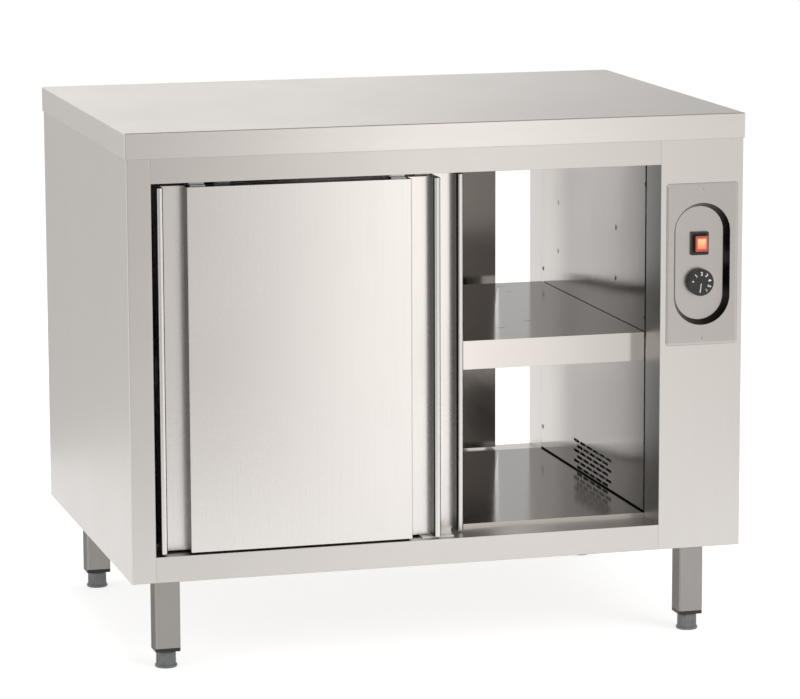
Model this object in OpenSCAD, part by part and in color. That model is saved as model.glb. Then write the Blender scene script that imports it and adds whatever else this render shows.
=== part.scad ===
// Heated pass-through plate cabinet with sliding doors on both long sides.
// Millimetres, +Z up, front at -Y, origin on the floor under the middle of the worktop.

/* [Cabinet] */
// Width of the worktop
width = 1000; // [900:10:1400]
// Depth of the worktop
depth = 700; // [640:10:800]
// Height from the floor to the top of the worktop
height = 850; // [780:10:950]
// Height of the underside of the body above the floor
leg_h = 150; // [120:5:180]
// Overhang of the worktop past the body on every side
overhang = 2; // [2:0.5:6]
// Thickness of the folded body sheet
sheet = 1; // [0.8:0.1:1.5]
// Outside radius of the folds of the body sheet
fold_r = 2.5; // [2:0.5:4]

/* [Worktop] */
// Height of the skirt around the worktop
skirt_h = 40; // [30:2:60]
// Thickness of the worktop sheet
top_sheet = 1.5; // [1:0.1:2]
// Width of the lip folded in under the skirt
skirt_lip = 14; // [8:1:25]
// Thickness of the board that stiffens the worktop
core_t = 18; // [12:1:25]

/* [Opening] */
// Width of the left stile
stile_w = 38; // [34:1:60]
// Width of the service column on the right
column_w = 138; // [130:1:180]
// Height of the rail above the doors
rail_h = 38.5; // [37:0.5:60]
// Height of the sill below the doors
sill_h = 40.5; // [30:0.5:60]
// Depth of the door zone, from the body's face to the chamber
zone = 70; // [68:1:90]

/* [Doors] */
// Width of a door
door_w = 450; // [425:5:460]
// Thickness of a door
door_t = 30; // [28:1:32]
// Gap between the sill and a door
sill_gap = 3.5; // [3:0.5:5]
// Gap between a door and the rail above it
head_gap = 7.5; // [6:0.5:10]
// Distance from the body's face to the outer door
door_set = 2; // [1:0.5:3]
// Gap between the outer and the inner door
door_gap = 4; // [3:0.5:5]
// Width of the rounded lip at a door's edge
lip_w = 11; // [9:1:16]
// Width of the finger recess beside the lip
grip_w = 36; // [28:1:50]
// Depth of the finger recess
grip_d = 25; // [18:0.5:25]
// Radius of the folds beside the finger recess
grip_r = 2; // [1.5:0.5:3]
// Place of the front outer door, from the left jamb
front_outer_at = 9; // [2:1:360]
// Place of the front inner door, from the left jamb
front_inner_at = 56; // [2:1:360]
// Place of the back outer door, from that side's left jamb
back_outer_at = 73; // [2:1:360]
// Gap between the back inner door and that side's right jamb
back_inner_at = 2; // [2:1:360]

/* [Door running gear] */
// Distance from a door's edge to the middle of its hanger
hanger_in = 66; // [60:1:100]
// Width of a hanger
hanger_w = 24; // [20:1:30]
// Thickness of a hanger
hanger_t = 2; // [1.5:0.5:3]
// Radius of a roller's rim
roller_r = 12; // [10:0.5:12]
// Depth of the groove in a roller
roller_groove = 1.5; // [1:0.1:2]
// Width of a roller
roller_w = 6; // [5:0.5:8]
// Radius of a roller's axle
axle_r = 3; // [2:0.5:4]
// Thickness of the track's sheet
track_t = 1.5; // [1:0.1:2]
// Length of a nylon guide on the sill
guide_len = 52; // [40:1:80]
// Place of the guide, from the left jamb
guide_at = 430; // [425:1:435]

/* [Chamber] */
// Height of the chamber floor above the sill
floor_step = 5.5; // [4:0.5:12]
// Height of the shelf's top above the floor of the room
shelf_z = 492; // [440:1:560]
// Height of the folded front of the shelf
shelf_lip = 46; // [30:1:60]
// Gap between the shelf and each wall
shelf_gap = 1.5; // [1:0.5:4]
// Gap between the door zone and the shelf
shelf_back = 3; // [2:1:20]
// Radius of a shelf peg
peg_r = 4; // [3:0.5:5]
// Length of a peg inside the chamber
peg_len = 11; // [8:1:16]
// Distance of the front pegs from the middle of the depth
peg_front = 123; // [90:1:200]
// Distance of the back pegs from the middle of the depth
peg_back = 187; // [90:1:200]
// Pitch of the peg holes
peg_pitch = 83; // [60:1:90]
// Length of a slot in the grille
slot_len = 30; // [20:1:32]
// Height of a slot in the grille
slot_h = 5; // [3:0.5:6]
// Pitch of the slots along a row
slot_pitch = 34.4; // [34.4:0.2:38]
// Pitch of the rows of slots
row_pitch = 8.9; // [8:0.1:10]
// Rows of slots
slot_rows = 6; // [3:1:8]

/* [Legs] */
// Side of the square leg tube
leg_side = 40; // [35:1:45]
// Wall of the leg tube
leg_wall = 1.5; // [1.2:0.1:3]
// Distance from the worktop's side to the middle of a leg
leg_in_x = 67; // [55:1:90]
// Distance from the worktop's front to the middle of a leg
leg_in_y = 68; // [55:1:90]
// Height of a foot below its cap
foot_h = 27; // [22:1:40]
// Height of a leg's cap
cap_h = 6; // [4:0.5:10]
// Radius of a foot at the floor
foot_r = 17.5; // [14:0.5:20]
// Radius of the foot's screw
stud_r = 6; // [4:0.5:8]

/* [Controls] */
// Width of the control plate
plate_w = 120; // [110:1:126]
// Height of the control plate
plate_h = 260; // [240:1:300]
// Height of the middle of the control plate
plate_z = 610.5; // [560:0.5:640]
// How far the control plate stands proud
plate_proud = 1.5; // [1:0.1:1.5]
// Width of the dished well in the plate
well_w = 94; // [80:1:100]
// Height of the dished well
well_h = 196; // [180:1:220]
// Depth of the well
well_d = 14.5; // [12:0.5:16]
// How far the well's wall slopes in
well_slope = 7; // [4:0.5:10]
// Height of the switch above the middle of the plate
switch_up = 31.5; // [28:0.5:36]
// Width of the switch's bezel
switch_w = 29; // [26:1:32]
// Height of the switch's bezel
switch_h = 37; // [34:1:40]
// Depth of the knob below the middle of the plate
knob_down = 30.5; // [28:0.5:34]
// Radius of the knob's skirt
knob_r = 21.5; // [18:0.5:24]
// Height of the knob
knob_h = 12; // [10:0.5:12.5]

/* [Hidden] */
$fn = 48;

eps = 0.01;
gap = 0.3;
run = 0.05;
steel = [0.80, 0.78, 0.75];
steel_dark = [0.62, 0.60, 0.58];
zinc = [0.70, 0.72, 0.74];
black = [0.08, 0.08, 0.08];

// Body box
bx0 = -width / 2 + overhang;
bx1 = width / 2 - overhang;
by0 = -depth / 2 + overhang;
by1 = depth / 2 - overhang;
bz0 = leg_h;
bz1 = height - skirt_h;

// Door opening
ox0 = bx0 + stile_w;
ox1 = bx1 - column_w;
oz0 = bz0 + sill_h;
oz1 = bz1 - rail_h;
open_w = ox1 - ox0;
open_x = (ox0 + ox1) / 2;
chamber_y0 = by0 + zone;
chamber_y1 = by1 - zone;
chamber_mid = (chamber_y0 + chamber_y1) / 2;
floor_z = oz0 + floor_step;

// Doors
door_z0 = oz0 + sill_gap;
door_z1 = oz1 - head_gap;
door_h = door_z1 - door_z0;
door_pitch = door_t + door_gap;
door_skin_t = door_t - sheet;
groove_y0 = grip_d + sheet;
groove_h = 12;
door_park = [front_outer_at, front_inner_at, back_outer_at, open_w - door_w - back_inner_at];
door_stop_gap = 2;

// Running gear, measured back from a door's own front
track_top = bz1 - sheet;
web_y = 3;
roller_y = 14;
bead_r = 1.5;
ledge_z = oz1 + 6.5;
bead_z = ledge_z + track_t;
tread_r = roller_r - roller_groove;
roller_z = bead_z + bead_r + gap + tread_r;
ledge_end = roller_y + roller_w / 2;
hanger_y = ledge_end + 1;
stop_len = 12;

// Chamber
peg_hole_z = [for (k = [-1 : 1]) shelf_z - sheet - 12 - peg_r + (k + 1) * peg_pitch];
peg_y = [chamber_mid - peg_front, chamber_mid + peg_back];
peg_tail = 7;
wall_screw_z = [oz0 + 44.5, (oz0 + oz1) / 2 + 34, oz1 - 40.5];
wall_flange = 12;
grille_z0 = floor_z + 3.5;
grille_y = chamber_mid - 8;
row_slots = 6;
vent_slots = [[321, 236], [321, 177], [261, -117], [200, -169]];

// Controls
column_x = (ox1 + bx1) / 2;
floor_w = plate_proud - well_d;
switch_z = plate_z + switch_up;
knob_z = plate_z - knob_down;
shaft_r = 3;
knob_lift = 0.8;
screw_r = 1.8;
screw_head_r = 3.5;
plate_screw = plate_h / 2 - 10;
fan_x = ox1 + 44;
fan_z = grille_z0 + 30;
fan_r = 24;
fan_len = 190;
fan_shaft = 3;
heater_front = 80;
heater_back = 88;

leg_spots = [for (y = [-1, 1]) for (x = [-1, 1]) [x * (width / 2 - leg_in_x), y * (depth / 2 - leg_in_y)]];
leg_top = oz0 - sheet;
leg_plate_t = 3;
leg_plate = leg_side + 44;
leg_bolt_in = 10;

// Mains entry, beside the plate of the right back leg
gland_r = 9;
gland_bore = 4.5;
gland_flange = gland_r + 5;
gland_y = depth / 2 - leg_in_y - leg_plate / 2 - gland_flange - 6;

// A rectangle with rounded corners, given by two corners and a radius
module rounded(x0, y0, x1, y1, r) {
    translate([x0 + r, y0]) square([x1 - x0 - 2 * r, y1 - y0]);
    translate([x0, y0 + r]) square([x1 - x0, y1 - y0 - 2 * r]);
    for (x = [x0 + r, x1 - r]) for (y = [y0 + r, y1 - r]) translate([x, y]) circle(r);
}

// A closed sheet profile with rounded folds
module tube_profile(x0, y0, x1, y1, r, t) {
    difference() {
        rounded(x0, y0, x1, y1, r);
        rounded(x0 + t, y0 + t, x1 - t, y1 - t, r - t);
    }
}

module block(x0, y0, z0, x1, y1, z1) {
    translate([x0, y0, z0]) cube([x1 - x0, y1 - y0, z1 - z0]);
}

// A profile drawn in Y and Z, pulled along X
module along_x(x0, x1) {
    translate([x0, 0, 0]) rotate([90, 0, 90]) linear_extrude(x1 - x0) children();
}

// A profile drawn in X and Z, pulled along Y
module along_y(y0, y1) {
    translate([0, y1, 0]) rotate([90, 0, 0]) linear_extrude(y1 - y0) children();
}

// A round bar along Y from y0 to y1
module bar_y(x, z, r, y0, y1) {
    translate([x, y1, z]) rotate([90, 0, 0]) cylinder(h = y1 - y0, r = r);
}

// A round bar along X from x0 to x1
module bar_x(y, z, r, x0, x1) {
    translate([x0, y, z]) rotate([0, 90, 0]) cylinder(h = x1 - x0, r = r);
}

// Turns what is drawn for the front round to the back of the cabinet
module to_back() {
    translate([2 * open_x, 0, 0]) rotate([0, 0, 180]) children();
}

// A box with rounded upper and upright edges and a flat bottom
module worktop_form(x0, y0, z0, x1, y1, z1, r) {
    translate([0, 0, z0]) linear_extrude(z1 - r - z0) rounded(x0, y0, x1, y1, r);
    block(x0 + r, y0 + r, z0, x1 - r, y1 - r, z1);
    for (y = [y0 + r, y1 - r]) bar_x(y, z1 - r, r, x0 + r, x1 - r);
    for (x = [x0 + r, x1 - r]) bar_y(x, z1 - r, r, y0 + r, y1 - r);
    for (x = [x0 + r, x1 - r]) for (y = [y0 + r, y1 - r]) translate([x, y, z1 - r]) sphere(r);
}

module worktop() {
    x1 = width / 2;
    y1 = depth / 2;
    t = top_sheet;
    color(steel) difference() {
        worktop_form(-x1, -y1, bz1, x1, y1, height, fold_r);
        block(-x1 + t, -y1 + t, bz1 + t, x1 - t, y1 - t, height - t);
        block(-x1 + skirt_lip, -y1 + skirt_lip, bz1 - 1, x1 - skirt_lip, y1 - skirt_lip, bz1 + t + 1);
    }
}

module worktop_core() {
    x1 = width / 2 - top_sheet - gap;
    y1 = depth / 2 - top_sheet - gap;
    color("burlywood") block(-x1, -y1, height - top_sheet - core_t, x1, y1, height - top_sheet);
}

// Side sheet with both stiles and the jambs of both openings folded from one piece
module side_sheet(x_out, x_jamb) {
    left = x_out < x_jamb;
    far = left ? x_jamb + 2 * fold_r : x_jamb - 2 * fold_r;
    translate([0, 0, bz0]) linear_extrude(bz1 - bz0) intersection() {
        tube_profile(min(x_out, far), by0, max(x_out, far), by1, fold_r, sheet);
        translate([min(x_out, x_jamb), by0]) square([abs(x_jamb - x_out), by1 - by0]);
    }
    jamb = left ? x_jamb - sheet : x_jamb;
    for (y = [by0, chamber_y1]) block(jamb, y, oz0, jamb + sheet, y + zone, bz1 - sheet);
}

module left_side_panel() {
    color(steel) side_sheet(bx0, ox0);
}

module right_side_panel() {
    cut_w = plate_w - 12;
    cut_h = plate_h - 40;
    color(steel) difference() {
        side_sheet(bx1, ox1);
        block(column_x - cut_w / 2, by0 - 1, plate_z - cut_h / 2, column_x + cut_w / 2, by0 + sheet + 1,
            plate_z + cut_h / 2);
        for (z = [-plate_screw, plate_screw]) bar_y(column_x, plate_z + z, screw_r + run, by0 - 1, by0 + sheet + 1);
    }
}

// Wall sheet of the chamber, with flanges folded away from it at front and back
module wall_sheet(x_face, way) {
    inner = x_face + way * sheet;
    edge = x_face + way * wall_flange;
    block(min(x_face, inner), chamber_y0, oz0, max(x_face, inner), chamber_y1, oz1);
    for (y = [chamber_y0, chamber_y1 - sheet])
        block(min(x_face, edge), y, oz0, max(x_face, edge), y + sheet, oz1);
}

module peg_holes(x_face) {
    for (z = peg_hole_z) for (y = peg_y) bar_x(y, z, peg_r + run, x_face - 3, x_face + 3);
}

module wall_screw_spots() {
    for (z = wall_screw_z) for (y = [chamber_y0 + 7, chamber_y1 - 7]) translate([0, y, z]) children();
}

module left_liner() {
    color(steel_dark) difference() {
        wall_sheet(ox0, -1);
        peg_holes(ox0);
        wall_screw_spots() bar_x(0, 0, screw_r + run, ox0 - 3, ox0 + 3);
    }
}

module side_insulation() {
    color("khaki") block(bx0 + sheet, chamber_y0 + wall_flange + gap, oz0, ox0 - peg_tail - gap,
        chamber_y1 - wall_flange - gap, oz1 - 1);
}

// Brick pattern of slots: full rows and rows of one slot less, shifted half a pitch
module grille() {
    for (k = [0 : slot_rows - 1]) {
        count = row_slots - (slot_rows - 1 - k) % 2;
        for (i = [0 : count - 1])
            translate([0, grille_y + (i - (count - 1) / 2) * slot_pitch, grille_z0 + slot_h / 2 + k * row_pitch])
                along_x(ox1 - 3, ox1 + 3) rounded(-slot_len / 2, -slot_h / 2, slot_len / 2, slot_h / 2, slot_h / 2 - eps);
    }
}

module chamber_wall() {
    color(steel_dark) difference() {
        wall_sheet(ox1, 1);
        peg_holes(ox1);
        grille();
        wall_screw_spots() bar_x(0, 0, screw_r + run, ox1 - 3, ox1 + 3);
    }
}

// Rail over the doors, with a flange under the worktop that carries the tracks
module top_rail() {
    color(steel) along_x(ox0, ox1) {
        translate([by0, oz1]) square([sheet, bz1 - oz1]);
        translate([by0, bz1 - sheet]) square([zone, sheet]);
        translate([by0, oz1]) square([door_set, sheet]);
    }
}

module front_top_rail() {
    top_rail();
}

module back_top_rail() {
    to_back() top_rail();
}

// Double track: one top plate, two webs, two ledges, each with the bead that a roller runs on
module track_profile() {
    y0 = by0 + door_set;
    translate([y0 + web_y, track_top - track_t]) square([door_pitch + hanger_y + 6, track_t]);
    for (p = [y0, y0 + door_pitch]) {
        translate([p + web_y, ledge_z]) square([track_t, track_top - ledge_z]);
        translate([p + web_y, ledge_z]) square([ledge_end - web_y, track_t]);
        translate([p + roller_y, bead_z]) intersection() {
            circle(bead_r);
            translate([-bead_r, -eps]) square([2 * bead_r, bead_r + eps]);
        }
    }
}

module front_tracks() {
    color(zinc) along_x(ox0 + gap, ox1 - gap) track_profile();
}

module back_tracks() {
    color(zinc) to_back() along_x(ox0 + gap, ox1 - gap) track_profile();
}

// Rubber blocks under the track's top plate, which the hangers meet at the ends of the travel
module stop_set() {
    reach = door_stop_gap + hanger_in - hanger_w / 2;
    for (k = [0, 1]) {
        y = by0 + door_set + k * door_pitch + ledge_end + 0.5;
        for (x = [ox0 + reach - gap - stop_len, ox1 - reach + gap])
            block(x, y, roller_z - 6, x + stop_len, y + 6, track_top - track_t);
    }
}

module door_stops() {
    color(black) stop_set();
    color(black) to_back() stop_set();
}

module ceiling_liner() {
    color(steel_dark) {
        block(ox0 + gap, chamber_y0 + gap, oz1, ox1 - gap, chamber_y1 - gap, oz1 + sheet);
        for (y = [chamber_y0 + gap, chamber_y1 - gap - sheet])
            block(ox0 + gap, y, oz1, ox1 - gap, y + sheet, bz1 - sheet);
    }
}

// Floor pan of the body: the sill strips of both openings are its folded edges
module base_pan() {
    hem = 14;
    rib_w = 60;
    rib_h = 20;
    rib_y = 120;
    color(steel) difference() {
        union() {
            block(ox0, by0, oz0 - sheet, ox1, by1, oz0);
            block(bx0 + sheet, by0 + fold_r, oz0 - sheet, ox0 + eps, by1 - fold_r, oz0);
            block(ox1 - eps, by0 + fold_r, oz0 - sheet, bx1 - sheet, by1 - fold_r, oz0);
            for (y = [by0, by1 - sheet]) block(ox0, y, bz0, ox1, y + sheet, oz0);
            for (y = [by0, by1 - hem]) block(ox0, y, bz0, ox1, y + hem, bz0 + sheet);
            for (x = [bx0 + sheet, bx1 - 2 * sheet]) block(x, by0 + fold_r, bz0, x + sheet, by1 - fold_r, oz0);
            along_x(ox0, ox1) for (y = [-rib_y, rib_y]) difference() {
                translate([y - rib_w / 2, oz0 - sheet - rib_h]) square([rib_w, rib_h]);
                translate([y - rib_w / 2 + sheet, oz0 - rib_h]) square([rib_w - 2 * sheet, rib_h]);
            }
        }
        translate([column_x, gland_y, oz0 - 3]) cylinder(h = 6, r = gland_r + run);
    }
}

// Raised floor of the chamber, a shallow tray turned upside down
module floor_liner() {
    color(steel_dark) along_x(ox0 + gap, ox1 - gap) {
        translate([chamber_y0, floor_z - sheet]) square([chamber_y1 - chamber_y0, sheet]);
        for (y = [chamber_y0, chamber_y1 - sheet]) translate([y, oz0]) square([sheet, floor_step]);
    }
}

// Square tube with the plate welded to its top that bolts up under the pan
module leg(i) {
    s = leg_side / 2;
    half = leg_plate / 2;
    bolt = half - leg_bolt_in;
    translate([leg_spots[i][0], leg_spots[i][1], 0]) color(steel) difference() {
        union() {
            translate([0, 0, foot_h + cap_h]) linear_extrude(leg_top - leg_plate_t - foot_h - cap_h)
                tube_profile(-s, -s, s, s, 4, leg_wall);
            translate([0, 0, leg_top - leg_plate_t]) linear_extrude(leg_plate_t)
                rounded(-half, -half, half, half, 5);
        }
        for (x = [-1, 1]) for (y = [-1, 1])
            translate([x * bolt, y * bolt, leg_top - leg_plate_t - 1]) cylinder(h = leg_plate_t + 2, r = 3.3);
    }
}

// Plastic cap with the plug that fills the tube's end and takes the foot's screw
module leg_caps() {
    s = leg_side / 2;
    p = s - leg_wall;
    plug_h = 22;
    color(black) for (spot = leg_spots) translate([spot[0], spot[1], 0]) difference() {
        union() {
            translate([0, 0, foot_h + gap]) linear_extrude(cap_h - gap) rounded(-s, -s, s, s, 4);
            translate([0, 0, foot_h + cap_h - eps]) linear_extrude(plug_h) rounded(-p, -p, p, p, 4 - leg_wall);
        }
        translate([0, 0, foot_h - 1]) cylinder(h = cap_h + plug_h + 2, r = stud_r + run);
    }
}

// Foot: fluted cone on a wider ring, with the screw that sets its height
module foot(i) {
    neck_r = foot_r - 2.5;
    ring_h = 4.5;
    flutes = 18;
    translate([leg_spots[i][0], leg_spots[i][1], 0]) color(zinc) {
        difference() {
            rotate_extrude() polygon([[0, 0], [foot_r - 0.8, 0], [foot_r, 0.8], [foot_r, ring_h - 0.8],
                [foot_r - 0.8, ring_h], [foot_r - 1.8, ring_h], [neck_r + 0.5, foot_h - 3], [neck_r - 0.5, foot_h], [0, foot_h]]);
            for (k = [0 : flutes - 1]) rotate([0, 0, k * 360 / flutes])
                translate([neck_r, -0.9, ring_h + 2]) cube([foot_r, 1.8, foot_h - ring_h - 6]);
        }
        translate([0, 0, foot_h - 1]) cylinder(h = 34, r = stud_r);
    }
}

module shelf() {
    x0 = ox0 + shelf_gap;
    x1 = ox1 - shelf_gap;
    y0 = chamber_y0 + shelf_back;
    y1 = chamber_y1 - shelf_back;
    side_z = peg_hole_z[0] + peg_r + gap;
    hem = 12;
    color(steel_dark) difference() {
        union() {
            block(x0, y0, shelf_z - sheet, x1, y1, shelf_z);
            for (y = [y0, y1 - sheet]) block(x0, y, shelf_z - shelf_lip, x1, y + sheet, shelf_z);
            for (y = [y0, y1 - hem]) block(x0, y, shelf_z - shelf_lip, x1, y + hem, shelf_z - shelf_lip + sheet);
            for (x = [x0, x1 - sheet]) block(x, y0, side_z, x + sheet, y1, shelf_z);
        }
        for (m = [-1, 1]) for (s = vent_slots)
            translate([open_x + m * s[0], s[1], shelf_z - 2 * sheet]) linear_extrude(3 * sheet)
                rounded(-6, -2, 6, 2, 1.9);
    }
}

// Pins that hook into the wall holes and carry the shelf
module shelf_pegs() {
    color(zinc) for (y = peg_y) {
        bar_x(y, peg_hole_z[0], peg_r, ox0 - peg_tail, ox0 + peg_len);
        bar_x(y, peg_hole_z[0], peg_r, ox1 - peg_len, ox1 + peg_tail);
    }
}

// Puts a door's own frame where the door stands: 0 and 1 at the front, 2 and 3 at the back
module door_frame(i) {
    spot = [ox0 + door_park[i], by0 + door_set + (i % 2) * door_pitch, 0];
    if (i < 2) translate(spot) children();
    else to_back() translate(spot) children();
}

// Plan of a door: rounded lip, finger recess and raised panel; inset shrinks it all round
module door_plan(inset) {
    lip_r = lip_w / 2;
    panel_x0 = lip_w + grip_w;
    panel_x1 = door_w - panel_x0;
    back = door_skin_t + (inset > 0 ? 1 : 0);
    for (x = [0, door_w - lip_w]) {
        translate([x + lip_r, lip_r]) circle(lip_r - inset);
        translate([x + inset, lip_r]) square([lip_w - 2 * inset, back - lip_r]);
    }
    translate([inset, grip_d - (inset > 0 ? -inset : 0)])
        square([door_w - 2 * inset, back - grip_d - inset]);
    rounded(panel_x0 + inset, inset, panel_x1 - inset, grip_d + grip_r, max(grip_r - inset, 0.3));
    translate([panel_x0 + inset, grip_r]) square([panel_x1 - panel_x0 - 2 * inset, back - grip_r]);
}

// Front sheet of a door, folded to lips, recesses and panel, and closed at its ends
module door_skin(i) {
    color(steel) door_frame(i) translate([0, 0, door_z0]) difference() {
        linear_extrude(door_h) door_plan(0);
        translate([0, 0, sheet]) linear_extrude(door_h - 2 * sheet) door_plan(sheet);
        block(-1, groove_y0, -1, door_w + 1, door_t, groove_h);
    }
}

// Flat inner sheet of a door
module door_liner(i) {
    color(steel_dark) door_frame(i) block(0, door_skin_t, door_z0, door_w, door_t, door_z1);
}

module hanger_spots() {
    for (x = [hanger_in, door_w - hanger_in]) translate([x, 0, 0]) children();
}

// Pair of angle brackets on a door's top, each with a fixed axle
module hangers(i) {
    foot_y0 = 8;
    head_t = 1;
    color(zinc) door_frame(i) hanger_spots() {
        block(-hanger_w / 2, foot_y0, door_z1, hanger_w / 2, door_t - 2, door_z1 + hanger_t);
        block(-hanger_w / 2, hanger_y, door_z1, hanger_w / 2, hanger_y + hanger_t, roller_z + 7);
        bar_y(0, roller_z, axle_r, roller_y - roller_w / 2 - gap - head_t, hanger_y + eps);
        bar_y(0, roller_z, axle_r + 1.5, roller_y - roller_w / 2 - gap - head_t, roller_y - roller_w / 2 - gap);
        bar_y(0, roller_z, axle_r + 1.5, ledge_end + gap, hanger_y + eps);
        for (x = [-7, 7]) translate([x, door_t - 6, door_z1 + hanger_t - eps]) cylinder(h = 1.6, r = 2.4);
    }
}

// Grooved nylon roller, side 0 near the door's left edge and side 1 near its right
module roller(i, side) {
    x = side == 0 ? hanger_in : door_w - hanger_in;
    h = roller_w / 2;
    color("white") door_frame(i) translate([x, roller_y, roller_z]) rotate([90, 0, 0])
        rotate_extrude() polygon([[axle_r + run, -h], [roller_r, -h], [roller_r, -h + 0.8], [tread_r, -h + 1.2],
            [tread_r, h - 1.2], [roller_r, h - 0.8], [roller_r, h], [axle_r + run, h]]);
}

// Nylon blocks on the sills, with a fin for each door's lower groove
module guide_block() {
    base_h = 2.5;
    fin_h = 12;
    x0 = ox0 + guide_at;
    y0 = by0 + door_set;
    color("gainsboro") {
        block(x0, y0 + 10, oz0, x0 + guide_len, y0 + door_pitch + door_t, oz0 + base_h);
        for (k = [0, 1])
            block(x0, y0 + k * door_pitch + groove_y0 + gap, oz0, x0 + guide_len,
                y0 + k * door_pitch + door_skin_t - gap, oz0 + fin_h);
    }
}

module bottom_guides() {
    guide_block();
    to_back() guide_block();
}

// Turns a drawing with Z outwards into the front face of the column
module on_column(z) {
    translate([column_x, by0, z]) rotate([90, 0, 0]) children();
}

// A low rounded plate whose four edges slope in by inset over its height
module bevel_pad(w, h, t, inset) {
    r = inset + 1;
    x = w / 2;
    y = h / 2;
    rotate([90, 0, 90]) translate([0, 0, -x + r]) linear_extrude(w - 2 * r)
        polygon([[-y, 0], [y, 0], [y - inset, t], [-y + inset, t]]);
    translate([0, -y + r, 0]) rotate([90, 0, 0]) mirror([0, 0, 1]) linear_extrude(h - 2 * r)
        polygon([[-x, 0], [x, 0], [x - inset, t], [-x + inset, t]]);
    for (i = [-1, 1]) for (j = [-1, 1]) translate([i * (x - r), j * (y - r), 0]) cylinder(h = t, r1 = r, r2 = r - inset);
}

// Long round-ended dish, from z = 0 at its mouth down to -d
module dish(w, h, d, slope, grow) {
    r1 = w / 2 - slope + grow;
    r2 = w / 2 + grow;
    half = (h - w) / 2;
    for (y = [-half, half]) translate([0, y, -d]) cylinder(h = d, r1 = r1, r2 = r2);
    translate([0, -half, 0]) rotate([90, 0, 0]) mirror([0, 0, 1]) linear_extrude(2 * half)
        polygon([[-r1, -d], [r1, -d], [r2, 0], [-r2, 0]]);
}

// Pressed plate with the dished well that holds the switch and the knob
module control_plate() {
    t = 1.2;
    color(steel) on_column(plate_z) difference() {
        union() {
            bevel_pad(plate_w, plate_h, plate_proud, 4);
            translate([0, 0, plate_proud]) dish(well_w, well_h, well_d + t, well_slope, t);
        }
        translate([0, 0, plate_proud + eps]) dish(well_w, well_h, well_d + eps, well_slope, 0);
        translate([0, switch_up, floor_w - 5]) linear_extrude(10)
            square([switch_w - 4 + 2 * run, switch_h - 4 + 2 * run], center = true);
        translate([0, -knob_down, floor_w - 5]) cylinder(h = 10, r = 5 + run);
        for (y = [-plate_screw, plate_screw]) translate([0, y, -1]) cylinder(h = 5, r = screw_r + run);
    }
}

// Black bezel on the well's floor, with the box of contacts behind it
module switch_housing() {
    bezel = 5;
    body_d = 24;
    wall = 4.5;
    mouth_w = switch_w - 2 * wall;
    mouth_h = switch_h - 2 * wall + 0.4;
    color(black) on_column(switch_z) translate([0, 0, floor_w]) difference() {
        union() {
            linear_extrude(bezel) rounded(-switch_w / 2, -switch_h / 2, switch_w / 2, switch_h / 2, 1.5);
            translate([0, 0, -body_d]) linear_extrude(body_d + eps)
                square([switch_w - 4, switch_h - 4], center = true);
        }
        translate([0, 0, -12]) linear_extrude(bezel + 13) square([mouth_w, mouth_h], center = true);
        rotate([0, 90, 0]) translate([0, 0, -mouth_w / 2 - 2]) cylinder(h = mouth_w + 4, r = 1.5 + run);
    }
    color(zinc) on_column(switch_z) for (y = [-9, 0, 9])
        translate([-3, y - 0.4, floor_w - body_d - 8]) cube([6, 0.8, 8 + eps]);
}

// Lit rocker: shallow V front, round back, on a cross pin, its upper half pressed in
module switch_rocker() {
    tilt = 8;
    pin_len = 1.5;
    half_h = (switch_h - 9) / 2 - 0.9;
    half_w = (switch_w - 9) / 2 - 0.35;
    face = 4.2;
    rise = half_h * tan(tilt);
    color("orangered") on_column(switch_z) translate([0, 0, floor_w]) rotate([-tilt, 0, 0]) {
        rotate([90, 0, 90]) translate([0, 0, -half_w]) linear_extrude(2 * half_w) {
            polygon([[-half_h, 1.5], [-5, -4], [5, -4], [half_h, 1.5], [half_h, face + rise], [0, face],
                [-half_h, face + rise]]);
        }
        rotate([0, 90, 0]) translate([0, 0, -half_w - pin_len]) cylinder(h = 2 * (half_w + pin_len), r = 1.5);
    }
}

// Knob: drum with a fluted side under a chamfered face, with a groove for the pointer line
module thermostat_knob() {
    flutes = 30;
    flute_r = 0.8;
    collar_h = 2;
    face_h = 1.2;
    face_r = knob_r - 0.9;
    line_w = 1.2;
    line_turn = -8;
    color(black) on_column(knob_z) translate([0, 0, floor_w + knob_lift]) difference() {
        union() {
            cylinder(h = collar_h, r = knob_r);
            translate([0, 0, collar_h]) linear_extrude(knob_h - face_h - collar_h) difference() {
                circle(knob_r);
                for (k = [0 : flutes - 1]) rotate(k * 360 / flutes) translate([knob_r + 0.1, 0]) circle(flute_r);
            }
            translate([0, 0, knob_h - face_h]) cylinder(h = face_h, r1 = face_r, r2 = face_r - face_h);
        }
        rotate([0, 0, line_turn]) translate([-line_w / 2, -knob_r + 3.5, knob_h - 0.4]) cube([line_w, knob_r - 4.5, 1]);
        translate([0, 0, -1]) cylinder(h = knob_h - 3, r = shaft_r + run);
    }
}

// Thermostat behind the plate: box, threaded bush through the well's floor, shaft and bulb tube
module thermostat() {
    t = 1.2;
    box = 40;
    box_d = 26;
    shaft = knob_h - 4.5;
    color(zinc) on_column(knob_z) translate([0, 0, floor_w]) {
        translate([-box / 2, -box / 2, -t - box_d]) cube([box, box, box_d]);
        translate([0, 0, -t - eps]) cylinder(h = t + 0.4, r = 5);
        translate([0, 0, -t]) cylinder(h = t + shaft, r = shaft_r);
        for (x = [-11, 0, 11]) translate([x - 3, 14, -t - box_d - 8]) cube([6, 0.8, 8 + eps]);
    }
}

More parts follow.
